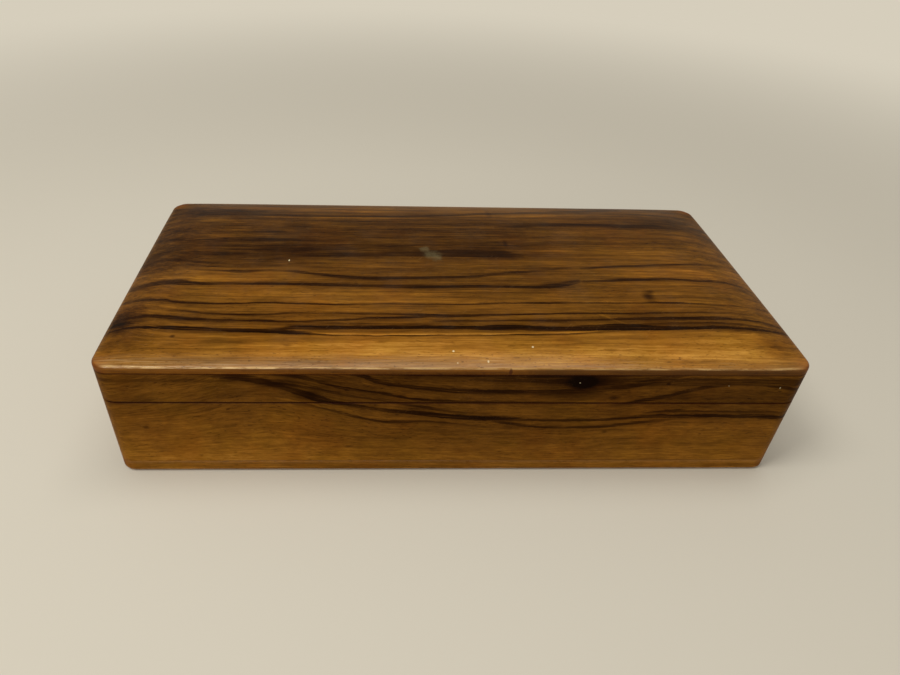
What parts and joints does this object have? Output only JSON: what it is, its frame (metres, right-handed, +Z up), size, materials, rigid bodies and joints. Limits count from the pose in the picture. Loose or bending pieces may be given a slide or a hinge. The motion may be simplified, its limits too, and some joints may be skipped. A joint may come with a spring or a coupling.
{
  "type": "glove box",
  "caption": "Long shallow wooden box with rounded corners, a low pillow-domed lid hinged at the back and a silk-lined well for gloves.",
  "frame": {"origin": "middle of the footprint, on the surface that the box stands on", "axes": "+X runs along the length to the right as seen from the front, +Y to the hinged back, +Z up"},
  "size_m": [0.28, 0.138, 0.0632],
  "materials": {
    "wall_wood": "figured olive wood, waxed satin",
    "top_wood": "dark-veined olive wood, waxed satin",
    "bottom_wood": "plain olive wood, waxed satin outside",
    "lip_wood": "polished straight-grained wood",
    "silk": "old gold silk satin over wadding",
    "card": "stiff millboard",
    "hinge_brass": "aged drawn brass",
    "hinge_pin_brass": "aged brass wire",
    "screw_brass": "aged brass, slotted"
  },
  "bodies": {
    "base": {"base_front_wall": "wall_wood", "base_back_wall": "wall_wood", "base_left_wall": "wall_wood", "base_right_wall": "wall_wood", "bottom_board": "bottom_wood", "front_lip": "lip_wood", "back_lip": "lip_wood", "left_lip": "lip_wood", "right_lip": "lip_wood", "front_panel": "silk", "back_panel": "silk", "left_panel": "silk", "right_panel": "silk", "floor_card": "card", "floor_pad": "silk", "base_hinge_screws": "screw_brass", "left_hinge_base_leaf": "hinge_brass", "left_hinge_pin": "hinge_pin_brass", "right_hinge_base_leaf": "hinge_brass", "right_hinge_pin": "hinge_pin_brass"},
    "lid": {"lid_front_wall": "wall_wood", "lid_back_wall": "wall_wood", "lid_left_wall": "wall_wood", "lid_right_wall": "wall_wood", "lid_board": "top_wood", "lid_card": "card", "lid_pad": "silk", "lid_hinge_screws": "screw_brass", "left_hinge_lid_leaf": "hinge_brass", "right_hinge_lid_leaf": "hinge_brass"}
  },
  "joints": [
    {"name": "lid_hinge", "type": "hinge", "parent": "base", "child": "lid", "pos_m": [0, 0.067, 0.0392], "axis": [-1, 0, 0], "range_deg": [0, 100]}
  ]
}
